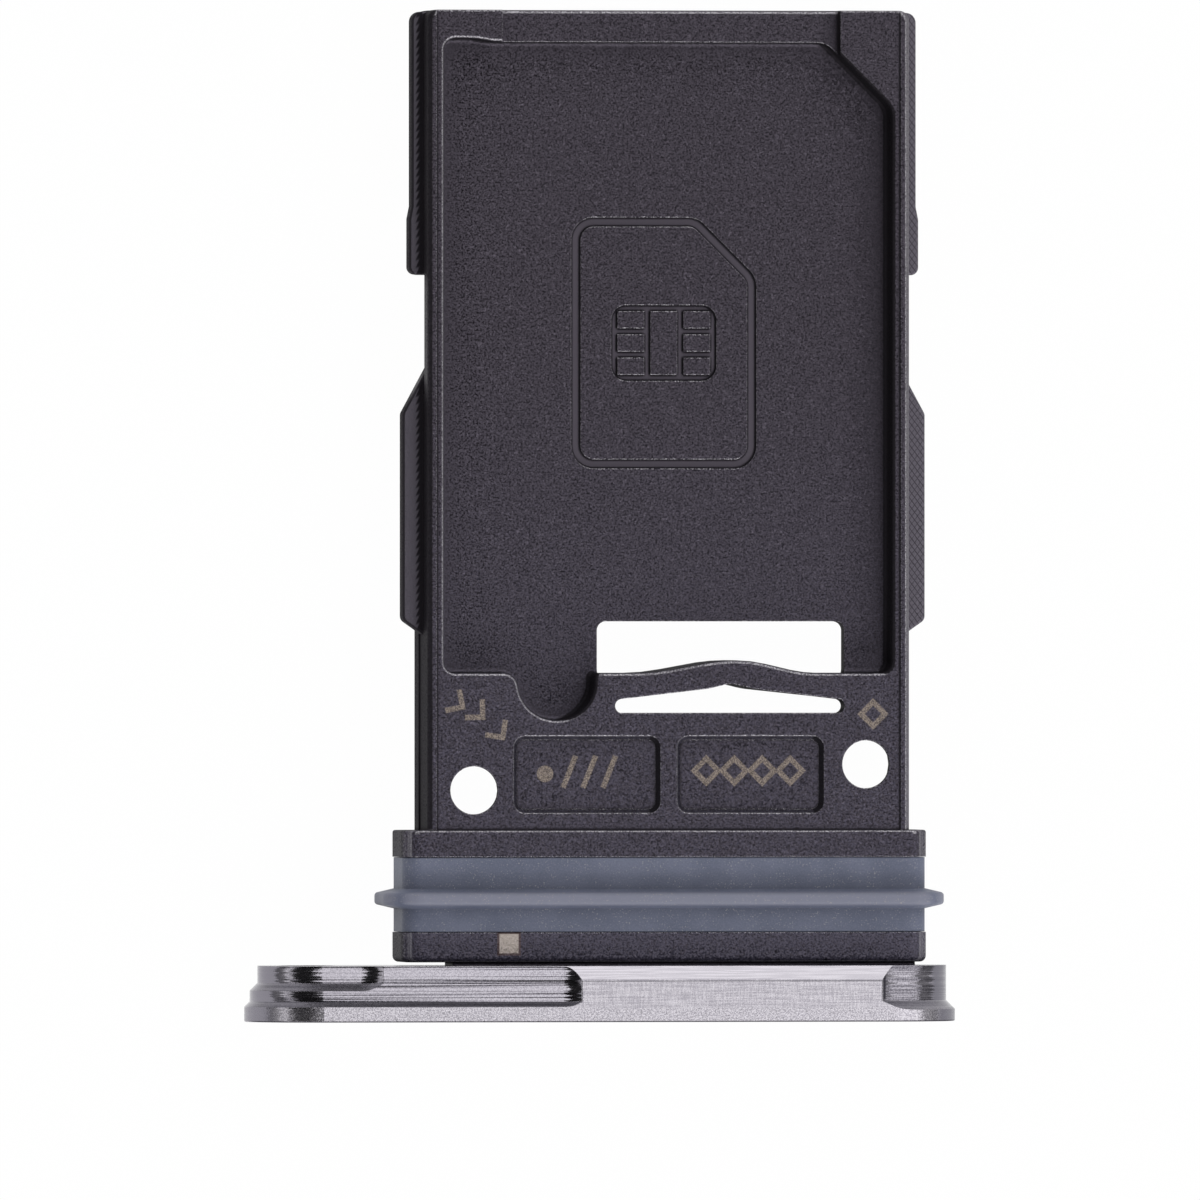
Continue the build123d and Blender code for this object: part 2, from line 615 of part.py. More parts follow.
def face_plate():
    """Outer plate: rounded ends, milled steps behind its edge, eject-pin hole and the tongue's socket."""
    plate = lengthwise(SlotOverall(plate_width, plate_height), plate_front_y, plate_rear_y)
    rear_face = plate.faces().sort_by(Axis.Y)[-1]
    plate = chamfer(rear_face.edges(), PLATE_BEVEL_DROP, PLATE_BEVEL_LENGTH, reference=rear_face)
    plate = fillet(plate.edges().group_by(Axis.Y)[0], PLATE_FRONT_ROUND)
    for cut in plate_reliefs():
        plate -= cut
    eject_x = EJECT_INSET - plate_width / 2
    plate -= lengthwise(Pos(eject_x, 0) * Circle(EJECT_RADIUS), plate_front_y - LAP, plate_rear_y + LAP)
    rim = plate.edges().filter_by(GeomType.CIRCLE).group_by(Axis.Y)[0]
    eject_rim = rim.filter_by(lambda edge: abs(edge.radius - EJECT_RADIUS) < TONGUE_CLEARANCE)
    plate = fillet(eject_rim, EJECT_RIM_ROUND)
    socket = Pos(carrier_x, 0) * tongue_section(TONGUE_CLEARANCE)
    plate -= lengthwise(socket, plate_rear_y - TONGUE_LENGTH - TONGUE_CLEARANCE, plate_rear_y + LAP)
    return Pos(0, 0, mid_z) * plate


os.makedirs("parts", exist_ok=True)
export_step(carrier(), "parts/carrier.step")
export_step(seal(), "parts/seal.step")
export_step(face_plate(), "parts/face_plate.step")
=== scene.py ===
# %% [markdown]
# # A card tray, dressed for its portrait
# The tray is a phone part of about 14 by 20 mm: a dark carrier for two cards, a soft ring that keeps
# water out, and a small milled plate that shows on the outside of the phone. Their shapes, rounded rims
# included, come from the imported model. So this lesson is about camera, light and surface finishes.

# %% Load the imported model
import math

import bpy
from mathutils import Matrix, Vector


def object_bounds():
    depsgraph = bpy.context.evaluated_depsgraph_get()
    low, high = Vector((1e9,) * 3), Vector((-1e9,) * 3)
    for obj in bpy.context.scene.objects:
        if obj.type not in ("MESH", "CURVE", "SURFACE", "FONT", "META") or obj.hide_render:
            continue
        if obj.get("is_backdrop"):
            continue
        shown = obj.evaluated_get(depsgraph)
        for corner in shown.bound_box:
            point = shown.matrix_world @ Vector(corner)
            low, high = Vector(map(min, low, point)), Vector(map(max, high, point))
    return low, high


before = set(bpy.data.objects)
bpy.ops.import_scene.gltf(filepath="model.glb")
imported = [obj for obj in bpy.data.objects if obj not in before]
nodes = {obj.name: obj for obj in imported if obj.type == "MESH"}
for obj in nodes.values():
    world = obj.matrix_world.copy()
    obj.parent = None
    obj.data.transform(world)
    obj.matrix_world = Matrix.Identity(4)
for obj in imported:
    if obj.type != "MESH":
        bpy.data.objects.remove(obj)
cad_low, cad_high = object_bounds()
MM = 0.001
print("nodes:", sorted(nodes), "size in mm:", [round((b - a) / MM, 2) for a, b in zip(cad_low, cad_high)])

# %% [markdown]
# ## A small language for shaders
# A finish is a small program. Drawing it as a web of nodes hides the arithmetic, so a socket is wrapped in
# a class that understands plus, minus, times and the rest. Each operation adds one Math node. Every other
# kind of node comes from one method that takes its type, its settings and what goes into its sockets.


# %% Sockets that do arithmetic
class Wire:
    """A value socket that takes part in Python expressions."""

    def __init__(self, graph, socket):
        self.graph = graph
        self.socket = socket

    def math(self, operation, *values):
        return self.graph.add("ShaderNodeMath", {"operation": operation}, dict(enumerate(values)))

    def __add__(self, other):
        return self.math("ADD", self, other)

    def __radd__(self, other):
        return self.math("ADD", other, self)

    def __sub__(self, other):
        return self.math("SUBTRACT", self, other)

    def __rsub__(self, other):
        return self.math("SUBTRACT", other, self)

    def __mul__(self, other):
        return self.math("MULTIPLY", self, other)

    def __rmul__(self, other):
        return self.math("MULTIPLY", other, self)

    def __abs__(self):
        return self.math("ABSOLUTE", self)

    def least(self, other):
        return self.math("MINIMUM", self, other)

    def most(self, other):
        return self.math("MAXIMUM", self, other)

    def root(self):
        return self.math("SQRT", self)

    def wave(self):
        return self.math("SINE", self)

    def fade(self, start, stop):
        """0 at start, 1 at stop, and a smooth change between them."""
        settings = {"interpolation_type": "SMOOTHSTEP"}
        return self.graph.add("ShaderNodeMapRange", settings, {"Value": self, 1: start, 2: stop})


print("sockets can now be added, multiplied and faded")


# %% One node tree
class Graph:
    """The nodes of one material, or of the world."""

    def __init__(self, tree):
        self.tree = tree
        tree.nodes.clear()

    def add(self, kind, settings, sockets, out=0):
        """Any node: its type, its settings, what goes into its sockets, and the output to go on with."""
        node = self.tree.nodes.new(kind)
        for name, value in settings.items():
            setattr(node, name, value)
        for name, value in sockets.items():
            if isinstance(value, Wire):
                self.tree.links.new(value.socket, node.inputs[name])
            else:
                node.inputs[name].default_value = value
        return Wire(self, node.outputs[out]) if len(node.outputs) else None

    def mix(self, factor, a, b):
        """Colour a where the factor is 0 and colour b where it is 1."""
        return self.add("ShaderNodeMix", {"data_type": "RGBA"}, {0: factor, 6: a, 7: b}, out=2)

    def vector(self, operation, a, b, out=0):
        return self.add("ShaderNodeVectorMath", {"operation": operation}, {0: a, 1: b}, out)


print("a graph adds any node by its type")

# %% [markdown]
# ## Places, textures and edges
# A finish asks where a point is, which way it faces, and how near it is to an edge or a corner. Pictures
# painted on unwrapped meshes could answer that too. Formulas in millimetres are used instead, because they
# need no unwrapping and stay sharp however near the camera comes.


# %% Where a point is and which way it faces
def split(graph, vector):
    """A vector's x, y and z."""
    return [graph.add("ShaderNodeSeparateXYZ", {}, {0: vector}, out=axis) for axis in range(3)]


def place(graph):
    """The point on the surface in millimetres, whole and as x, y and z."""
    point = graph.add("ShaderNodeTexCoord", {}, {}, out="Object")
    point = graph.vector("MULTIPLY", point, (1 / MM, 1 / MM, 1 / MM))
    return [point] + split(graph, point)


def facing(graph):
    """The true normal, whole and as x, y and z."""
    normal = graph.add("ShaderNodeNewGeometry", {}, {}, out="Normal")
    return [normal] + split(graph, normal)


print("one unit of place is", MM, "m")


# %% Textures with their scale in millimetres
def noise(graph, point, scale, detail, stretch=(1, 1, 1)):
    """Cloudy values about one half, scale features to the millimetre."""
    point = graph.vector("MULTIPLY", point, tuple(scale * share for share in stretch))
    return graph.add("ShaderNodeTexNoise", {}, {"Vector": point, "Scale": 1.0, "Detail": detail})


def flecks(graph, point, scale, amount):
    """A small random vector that changes from grain to grain, scale grains to the millimetre."""
    point = graph.vector("MULTIPLY", point, (scale, scale, scale))
    sockets = {"Vector": point, "Scale": 1.0, "Detail": 1.0}
    pick = graph.add("ShaderNodeTexNoise", {}, sockets, out="Color")
    pick = graph.vector("SUBTRACT", pick, (0.5, 0.5, 0.5))
    return graph.add("ShaderNodeVectorMath", {"operation": "SCALE"}, {0: pick, "Scale": amount})


print("textures: noise and flecks")

# %% Normals, edges and corners
LOOKS_AROUND = 4
EDGE_STARTS = 0.998
EDGE_FULL = 0.92


def rounded(graph, radius):
    """Normals as if every sharp edge had this radius, in millimetres."""
    return graph.add("ShaderNodeBevel", {"samples": LOOKS_AROUND}, {"Radius": radius * MM})


def tilted(graph, normal, lean):
    """A normal pushed aside by a small vector."""
    return graph.vector("NORMALIZE", graph.vector("ADD", normal, lean), (0, 0, 0))


def edges(graph, soft_normal, true_normal):
    """1 on edges, where the softened normal leaves the true one, and 0 on flat faces."""
    likeness = graph.vector("DOT_PRODUCT", soft_normal, true_normal, out="Value")
    return likeness.fade(EDGE_STARTS, EDGE_FULL)


def openness(graph, reach):
    """1 in the open and less in a corner, as far as neighbours within reach, in millimetres, hide it."""
    settings = {"samples": LOOKS_AROUND, "only_local": True}
    return graph.add("ShaderNodeAmbientOcclusion", settings, {"Distance": reach * MM}, out="AO")


print("edges start at", round(math.degrees(math.acos(EDGE_STARTS)), 1), "degrees of softening")

# %% Materials
BLACK = (0.0, 0.0, 0.0, 1.0)
WHITE = (1.0, 1.0, 1.0, 1.0)


def new_material(name):
    material = bpy.data.materials.new(name)
    material.use_nodes = True
    return material, Graph(material.node_tree)


def finish(graph, sockets, dull=0.0, dull_colour=BLACK):
    """The surface, part of which may be plainly matt, by the share dull."""
    shader = graph.add("ShaderNodeBsdfPrincipled", {}, sockets)
    matt = graph.add("ShaderNodeBsdfDiffuse", {}, {"Color": dull_colour})
    both = graph.add("ShaderNodeMixShader", {}, {0: dull, 1: shader, 2: matt})
    graph.add("ShaderNodeOutputMaterial", {}, {"Surface": both})


def dress(node_name, material):
    """The CAD node keeps its mesh and gets this finish."""
    slots = nodes[node_name].data.materials
    slots.clear()
    slots.append(material)
    print(node_name, "wears", material.name, "with", len(material.node_tree.nodes), "nodes")


def colour(red, green, blue):
    """A colour as a picture shows it, from 0 to 255, turned into the light that a shader works with."""

    def linear(value):
        share = value / 255
        return share / 12.92 if share <= 0.04045 else ((share + 0.055) / 1.055) ** 2.4

    return (linear(red), linear(green), linear(blue), 1.0)


print("middle grey is", round(colour(128, 128, 128)[0], 3), "of white light")

# %% [markdown]
# ## The camera
# The portrait is taken from far above, so that lines stay almost parallel. The view leans a little to the
# tray's left: the left outer walls show, and the right ones hide. That lean also moves high points sideways
# in the picture, and it is why the far wall of the pocket shows as a dark band. A camera without perspective
# would look nearly the same. A very long lens is chosen, because every real camera has some perspective.

# %% Camera
FRAME_WIDTH = 23.76 * MM
LEAN = math.radians(8.5)
LENS = 1000.0
SENSOR = 36.0
CLIP_NEAR = 0.01
CLIP_FAR = 10.0
target = (0.0, -1.663 * MM, 1.39 * MM)
distance = FRAME_WIDTH * LENS / SENSOR

camera_data = bpy.data.cameras.new("camera")
camera_data.lens = LENS
camera_data.sensor_width = SENSOR
camera_data.clip_start = CLIP_NEAR
camera_data.clip_end = CLIP_FAR
camera = bpy.data.objects.new("camera", camera_data)
camera.rotation_euler = (0.0, -LEAN, 0.0)
camera.location = (
    target[0] - distance * math.sin(LEAN),
    target[1],
    target[2] + distance * math.cos(LEAN),
)
bpy.context.scene.collection.objects.link(camera)
bpy.context.scene.camera = camera
print("camera", round(distance, 3), "m away")

# %% [markdown]
# ## Table, room and lamps
# The tray lies on a white table, which the camera sees as almost plain white with a trace of shadow. The
# milled plate mirrors its surroundings, so what is around it matters as much as how bright it is: a large
# soft box on the right, a small one low on the left and a dark gap between them. That gap draws the black
# streaks on the round ends of the plate. Two more boxes, low in front and low behind, lift the dark carrier
# and light the slopes that face them. A picture of a studio wrapped round the scene would light it too, but
# lamps with a place and a size can be moved one at a time.

# %% White table
TABLE_HALF = 1.5
TABLE_GLOW = 0.985
MATT_WHITE = (0.85, 0.85, 0.85, 1.0)

corners = [(-TABLE_HALF, -TABLE_HALF, 0), (TABLE_HALF, -TABLE_HALF, 0)]
corners += [(TABLE_HALF, TABLE_HALF, 0), (-TABLE_HALF, TABLE_HALF, 0)]
table_mesh = bpy.data.meshes.new("table")
table_mesh.from_pydata(corners, [], [(0, 1, 2, 3)])
table = bpy.data.objects.new("table", table_mesh)
bpy.context.scene.collection.objects.link(table)
table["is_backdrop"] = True

table_paint, graph = new_material("table_white")
camera_ray = graph.add("ShaderNodeLightPath", {}, {}, out="Is Camera Ray")
glossy_ray = graph.add("ShaderNodeLightPath", {}, {}, out="Is Glossy Ray")
transmitted_ray = graph.add("ShaderNodeLightPath", {}, {}, out="Is Transmission Ray")
seen_directly = camera_ray.most(glossy_ray).most(transmitted_ray)
matt = graph.add("ShaderNodeBsdfDiffuse", {}, {"Color": MATT_WHITE})
glow = graph.add("ShaderNodeEmission", {}, {"Color": WHITE, "Strength": 1.0})
lit = graph.add("ShaderNodeMixShader", {}, {0: seen_directly * TABLE_GLOW, 1: matt, 2: glow})
graph.add("ShaderNodeOutputMaterial", {}, {"Surface": lit})
table_mesh.materials.append(table_paint)
print("table", 2 * TABLE_HALF, "m wide")

# %% Room that is pale low down and dim overhead
HORIZON_LEVEL = 0.30
OVERHEAD_LEVEL = 0.015
DIM_ABOVE = 0.75
PALE_BELOW = 0.45

world = bpy.data.worlds.new("room")
world.use_nodes = True
bpy.context.scene.world = world
graph = Graph(world.node_tree)
direction = graph.add("ShaderNodeTexCoord", {}, {}, out="Generated")
height = abs(split(graph, direction)[2])
level = OVERHEAD_LEVEL + (HORIZON_LEVEL - OVERHEAD_LEVEL) * height.fade(DIM_ABOVE, PALE_BELOW)
room = graph.add("ShaderNodeBackground", {}, {"Color": WHITE, "Strength": level})
graph.add("ShaderNodeOutputWorld", {}, {"Surface": room})
bpy.context.scene.view_settings.view_transform = "Standard"
print("room level from", OVERHEAD_LEVEL, "to", HORIZON_LEVEL)

# %% Soft boxes
BOX_DISTANCE = 0.30


def soft_box(name, lean, tip, across, along, level):
    """A rectangular lamp that faces the tray and fills the given angles of its sky, in degrees.

    It stands lean degrees from straight up towards +X, tipped towards +Y. Level is its face's brightness.
    """
    side = math.radians(lean)
    back = math.radians(tip)
    data = bpy.data.lights.new(name, "AREA")
    data.shape = "RECTANGLE"
    data.size = 2 * BOX_DISTANCE * math.tan(math.radians(across / 2))
    data.size_y = 2 * BOX_DISTANCE * math.tan(math.radians(along / 2))
    data.energy = level * math.pi * data.size * data.size_y
    lamp = bpy.data.objects.new(name, data)
    lamp.location = (
        BOX_DISTANCE * math.sin(side) * math.cos(back),
        BOX_DISTANCE * math.sin(back),
        BOX_DISTANCE * math.cos(side) * math.cos(back),
    )
    lamp.rotation_euler = (-back, side, 0.0)
    bpy.context.scene.collection.objects.link(lamp)
    print(name, round(data.energy, 3), "W")


soft_box("right_box", lean=28.0, tip=0.0, across=54.0, along=104.0, level=1.15)
soft_box("left_box", lean=-57.0, tip=0.0, across=16.0, along=100.0, level=0.6)
soft_box("front_box", lean=10.0, tip=-58.0, across=90.0, along=30.0, level=2.2)
soft_box("rear_box", lean=5.0, tip=64.0, across=70.0, along=20.0, level=2.0)

# %% [markdown]
# ## Masks
# A finish changes from place to place: grain on the floor of the pocket, smooth grooves, marks. A mask is
# 1 in such a place and 0 elsewhere. It could be a painted picture. Here it starts as a distance that is
# negative inside a shape, worked out from x and y in millimetres, and a short fade turns it into a mask,
# because then each shape is one line with its own sizes.

# %% Flat shapes as distances
INK_BLUR = 0.012


def inside(distance_out, blur=INK_BLUR):
    """Mask of a shape from the distance to its outline."""
    return distance_out.fade(blur, -blur)


def block(x, y, centre, half_width, half_height):
    return (abs(x - centre[0]) - half_width).most(abs(y - centre[1]) - half_height)


def disc(x, y, centre, radius):
    dx = x - centre[0]
    dy = y - centre[1]
    return (dx * dx + dy * dy).root() - radius


def stroke(x, y, centre, angle, half_length, half_width):
    """A straight stroke at an angle in degrees from +X."""
    turn = math.radians(angle)
    dx = x - centre[0]
    dy = y - centre[1]
    along = dx * math.cos(turn) + dy * math.sin(turn)
    across = dy * math.cos(turn) - dx * math.sin(turn)
    return (abs(along) - half_length).most(abs(across) - half_width)


print("edges of marks blur over", 2 * INK_BLUR, "mm")

# %% [markdown]
# ## Marks on the carrier
# A laser has burned small marks into the coat, where the bare alloy shows brownish grey. They are plain
# shapes: a dot, slanted strokes and diamonds in the two shallow recesses, three chevrons and one more
# diamond on the shoulder. A small square on the front collar was left bare. Such marks could be thin
# meshes laid on the coat, but a burned mark has no height of its own, so it is a change of finish.

# %% Shapes of the marks
MARK_STROKE = 0.052
DIAMOND_HALF = 0.24
CHEVRON_ARM = 0.15
CHEVRON_SPREAD = 45.0


def diamond(x, y, centre):
    """Distance to the outline of a square that stands on one corner."""
    turn = math.sqrt(0.5)
    dx = (x - centre[0]) * turn
    dy = (y - centre[1]) * turn
    middle_line = block(dx + dy, dy - dx, (0.0, 0.0), DIAMOND_HALF * turn, DIAMOND_HALF * turn)
    return abs(middle_line) - MARK_STROKE


def chevron(x, y, tip, turn):
    """Distances to the two arms of a chevron that opens in the direction of turn, in degrees."""
    shapes = []
    for angle in (turn - CHEVRON_SPREAD, turn + CHEVRON_SPREAD):
        lean = math.radians(angle)
        middle = (tip[0] + CHEVRON_ARM * math.cos(lean), tip[1] + CHEVRON_ARM * math.sin(lean))
        shapes.append(stroke(x, y, middle, angle, CHEVRON_ARM + MARK_STROKE, MARK_STROKE))
    return shapes


print("strokes are", 2 * MARK_STROKE, "mm wide")

# %% Laser marks in their places
DOT = (-1.205, -5.10)
DOT_RADIUS = 0.165
STROKE_MIDDLES = (-0.72, -0.32, 0.08)
STROKE_ROW_Y = -5.06
STROKE_HALF = 0.34
STROKE_ANGLE = 68.0
DIAMOND_MIDDLES = (2.02, 2.58, 3.14, 3.70)
DIAMOND_ROW_Y = -5.04
LONE_DIAMOND = (5.34, -3.92)
CHEVRONS = (((-2.87, -3.78), 146.0), ((-2.47, -3.98), 136.0), ((-2.07, -4.38), 126.0))
UPPER_SIDE = 2.06
HEIGHT_BLUR = 0.02


def upper_side(z):
    """Mask of the highest faces, down to the floors of the shallow recesses."""
    return z.fade(UPPER_SIDE, UPPER_SIDE + HEIGHT_BLUR)


def laser_marks(x, y, z):
    """Mask of every mark on the upper side."""
    nearest = disc(x, y, DOT, DOT_RADIUS)
    shapes = [diamond(x, y, LONE_DIAMOND)]
    shapes += [diamond(x, y, (middle, DIAMOND_ROW_Y)) for middle in DIAMOND_MIDDLES]
    for middle in STROKE_MIDDLES:
        shapes.append(stroke(x, y, (middle, STROKE_ROW_Y), STROKE_ANGLE, STROKE_HALF, MARK_STROKE))
    for tip, turn in CHEVRONS:
        shapes += chevron(x, y, tip, turn)
    for shape in shapes:
        nearest = nearest.least(shape)
    return inside(nearest) * upper_side(z)


mark_counts = (len(STROKE_MIDDLES), len(DIAMOND_MIDDLES) + 1, len(CHEVRONS))
print("strokes, diamonds and chevrons:", mark_counts)

# %% [markdown]
# ## The carrier's coat
# The carrier is cast and then coated near-black. Close up the coat is a fine wrinkled grain, a few
# hundredths of a millimetre across, with glints where a grain faces a lamp. So each grain leans its own
# way. Rims and edges get specks of bare alloy, partly wear and partly painted glints, as they sit mostly on
# edges that face the lamps. Corners are rougher and more matt, and painted dark as painted shade. Height
# picks out the rounded rims, a rounded normal that leaves the true one picks out sharp edges, and the share
# of the sky that is hidden close by picks out corners. Painting all this by hand would have to be done again
# after each change of shape, while these masks find edges and corners by themselves.
#
# The upper faces of the guide wings are smoother and paler. The right ones carry a fine crossed hatch. The
# left ones get less of the pale colour and a ragged painted shadow of the rail, both painted shade. Side
# walls are matt, because a glossy wall would mirror the white table.

# %% Places on the carrier
MIDDLE_X = 1.25
MIDDLE_Z = 1.39
RAIL_HALF = 4.82
WING_TOP = 1.61
WING_REACH = 0.03
GROOVE_FLOOR = 1.50
GROOVE_REACH = 0.02
GROOVE_MIDDLE = (MIDDLE_X, 3.4)
GROOVE_HALF_WIDTH = 2.2
GROOVE_HALF_LENGTH = 3.0
GROOVE_BLUR = 0.01
AREA_BLUR = 0.1


def groove_mask(x, y, z):
    """Floor of the engraved lines in the pocket."""
    level = inside(abs(z - GROOVE_FLOOR) - GROOVE_REACH, GROOVE_BLUR)
    area = block(x, y, GROOVE_MIDDLE, GROOVE_HALF_WIDTH, GROOVE_HALF_LENGTH)
    return level * inside(area, AREA_BLUR)


def wing_mask(x, z):
    """Upper faces of the guide wings."""
    beside = abs(x - MIDDLE_X).fade(RAIL_HALF, RAIL_HALF + HEIGHT_BLUR)
    return beside * inside(abs(z - WING_TOP) - WING_REACH, HEIGHT_BLUR)


print("the carrier is", 2 * RAIL_HALF, "mm wide over its rails")

# %% Rounded rims
LAND_TOP = 2.23
LAND_RIM = 0.021
BEAD_TOP = 2.27
BEAD_RIM = 0.033
END_WALL_TOP = 1.93
END_WALL_RIM = 0.023
END_WALL_FADE = (9.60, 9.65)
COLLAR_TOP = 2.31
COLLAR_RIM = 0.018
COLLAR_RIM_FADE = (-6.31, -6.27)
RIM_BLUR = 0.003
FLAT_TOP = 0.0005


def below(z, top, depth):
    """Mask of the upper part of a rounded rim, from just under its top down to a depth."""
    floor = top - depth
    return z.fade(floor - RIM_BLUR, floor + RIM_BLUR) * z.fade(top - FLAT_TOP, top - RIM_BLUR)


def rim_mask(y, z):
    """Rounded rims: round the pocket, along the beads, on the end wall and behind the collar."""
    end_wall = below(z, END_WALL_TOP, END_WALL_RIM) * y.fade(*END_WALL_FADE)
    long_rims = below(z, LAND_TOP, LAND_RIM).most(below(z, BEAD_TOP, BEAD_RIM))
    collar = below(z, COLLAR_TOP, COLLAR_RIM) * y.fade(*COLLAR_RIM_FADE)
    return long_rims.most(end_wall).most(collar)


print("rims at heights of", LAND_TOP, BEAD_TOP, END_WALL_TOP, "and", COLLAR_TOP, "mm")

# %% Colours of the coat
COAT_DARK = colour(12, 11, 13)
COAT_PALE = colour(42, 38, 44)
COAT_COOL_DARK = colour(14, 13, 17)
COAT_COOL_PALE = colour(60, 59, 72)
COAT_TONE = 0.45
WRINKLE_CONTRAST = 3.2
FINE_CONTRAST = 1.2
COOL_FADE = (5.0, -7.0)
COOL_SHARE = 0.8
FRONT_COLLAR_FADE = (-7.7, -7.9)
FRONT_COLLAR_COOL = 0.2
FRONT_COLLAR_PAINTED_LIGHT = 0.42


def coat_colour(graph, wrinkle, fine, y, smooth):
    """Near-black, warmer at the inner end and cooler at the outer end, mottled grain by grain, with painted
    light on the front collar.
    """
    front_collar = y.fade(*FRONT_COLLAR_FADE)
    mottle = (wrinkle - 0.5) * WRINKLE_CONTRAST + (fine - 0.5) * FINE_CONTRAST
    # painted light: the front collar is lifted paler
    tone = COAT_TONE + mottle * (1 - smooth) + front_collar * FRONT_COLLAR_PAINTED_LIGHT
    cool = y.fade(*COOL_FADE) * COOL_SHARE + front_collar * FRONT_COLLAR_COOL
    dark = graph.mix(cool, COAT_DARK, COAT_COOL_DARK)
    pale = graph.mix(cool, COAT_PALE, COAT_COOL_PALE)
    return graph.mix(tone.most(0.0).least(1.0), dark, pale)


coat_tones = (COAT_DARK, COAT_PALE, COAT_COOL_DARK, COAT_COOL_PALE)
print("coat tones:", [round(tone[1], 4) for tone in coat_tones])

# %% Guide wings
WING_PALE = colour(90, 87, 94)
WING_DARK = colour(20, 18, 21)
HATCH_PITCH = 0.09
HATCH_ACROSS = 0.8
HATCH_ALONG = 0.6
HATCH_FADE = (0.68, 0.98)
RISING_SHARE = 0.9
SHADE_FADE = (0.14, 0.08)
SHADE_RAGGED = 0.028


def slant(x, y, way):
    """Waves of slanted lines, rising to the right for a way of -1 and falling for a way of 1."""
    return ((x * HATCH_ACROSS + y * HATCH_ALONG * way) * (2 * math.pi / HATCH_PITCH)).wave()


def wing_colour(graph, x, y, right):
    """Pale, with a fine crossed hatch on the right-hand wings."""
    hatch = (slant(x, y, -1) * RISING_SHARE).most(slant(x, y, 1)).fade(*HATCH_FADE)
    return graph.mix(hatch * right, WING_PALE, WING_DARK)


def rail_shade(x, y, out, right):
    """Ragged shade on the left-hand wings, beside the rail."""
    return (1 - right) * (out - SHADE_RAGGED * slant(x, y, -1)).fade(*SHADE_FADE)


print("hatch lines", HATCH_PITCH, "mm apart")

# %% Worn rims and edges, with painted glints
LEAST_SPECKS = 0.25
ENDWAYS_FADE = (0.45, 0.15)
SPECK_FADE = (0.41, 0.61)
RIM_SHEEN = 0.14
RIM_SPECKS = 0.5


def wear_and_glint_mask(graph, soft_normal, true_normal, fine, rim, open_edges):
    """Specks of bare alloy on rims and edges, partly wear and partly painted glints, most of them where the
    edge faces along the tray, towards the front and rear lamps.
    """
    across = split(graph, soft_normal)[0]
    endways = LEAST_SPECKS + (1 - LEAST_SPECKS) * abs(across).fade(*ENDWAYS_FADE)
    specks = endways * fine.fade(*SPECK_FADE)
    sharp = edges(graph, soft_normal, true_normal) * open_edges
    return (rim * (RIM_SHEEN + RIM_SPECKS * specks)).most(sharp * specks)


print("side edges have", LEAST_SPECKS, "of the specks of end edges")

# %% Colours of the marks
MARK_TONE = colour(142, 130, 116)
MARK_DARK = colour(86, 78, 70)
BURN_FADE = (0.35, 0.65)
SQUARE_TONE = colour(186, 175, 165)
SQUARE_RIM = colour(74, 58, 52)
BARE_SQUARE = (-1.955, -8.455)
BARE_HALF = 0.19
BARE_RIM = 0.045


def add_marks(graph, base, mark, fine, x, y, z):
    """The burned marks, and the bare square with its dark outline."""
    base = graph.mix(mark, base, graph.mix(fine.fade(*BURN_FADE), MARK_DARK, MARK_TONE))
    square = block(x, y, BARE_SQUARE, BARE_HALF, BARE_HALF)
    base = graph.mix(inside(square - BARE_RIM) * upper_side(z), base, SQUARE_RIM)
    return graph.mix(inside(square) * upper_side(z), base, SQUARE_TONE)


print("bare square", 2 * BARE_HALF, "mm wide")

# %% Side walls
WALL_TILT = (0.55, 0.20)
CATCH_MIDDLE = 3.55
CATCH_HALF = 1.1
CATCH_BLUR = 0.3
CATCH_GLOSS = 0.5
COLLAR_GLOSS = 0.2
BESIDE_RAIL = (-0.1, 0.1)


def side_mask(y, up, out, right, turned_left, collar):
    """Side walls, less so between the left-hand wings and on the collar."""
    catch = inside(abs(y - CATCH_MIDDLE) - CATCH_HALF, CATCH_BLUR)
    between_wings = catch * out.fade(*BESIDE_RAIL) * (1 - right)
    walls = abs(up).fade(*WALL_TILT).most(turned_left)
    return walls * (1 - between_wings * CATCH_GLOSS) * (1 - collar * COLLAR_GLOSS)


print("walls are steeper than", round(math.degrees(math.acos(WALL_TILT[0]))), "degrees")

# %% Carrier finish
COAT_EDGE = 0.035
CORNER_REACH = 0.055
OPEN_REACH = 0.5
WRINKLES = 24.0
FINE_GRAINS = 42.0
LEANING_GRAINS = 26.0
GRAIN_LEAN = 2.1
SMOOTHING = 0.9
RIGHT_BLUR = 1.0
COLLAR_REAR = -6.22
COLLAR_BLUR = 0.05
LEFT_TILT = (-0.05, -0.25)
CORNER_SKY = (0.96, 0.68)
EDGE_SKY = (0.80, 0.97)
GRAIN_SKY = (0.55, 0.97)
WING_SMOOTHNESS = 0.6
LEFT_WING_SHADED_COVER = 0.7
COAT_ROUGHNESS = 0.38
MARK_ROUGHER = 0.15
CORNER_ROUGHER = 0.3
CORNER_DULLNESS = 0.7
COAT_GLOSS = 0.69
GLOSS_TINT = (0.90, 0.80, 1.0, 1.0)
ALLOY = colour(214, 211, 217)
CORNER_SHADE_TONE = colour(9, 9, 10)
GROOVE_TONE = colour(66, 62, 68)
SIDE_TONE = colour(33, 31, 34)
SIDE_DULLNESS = 0.85


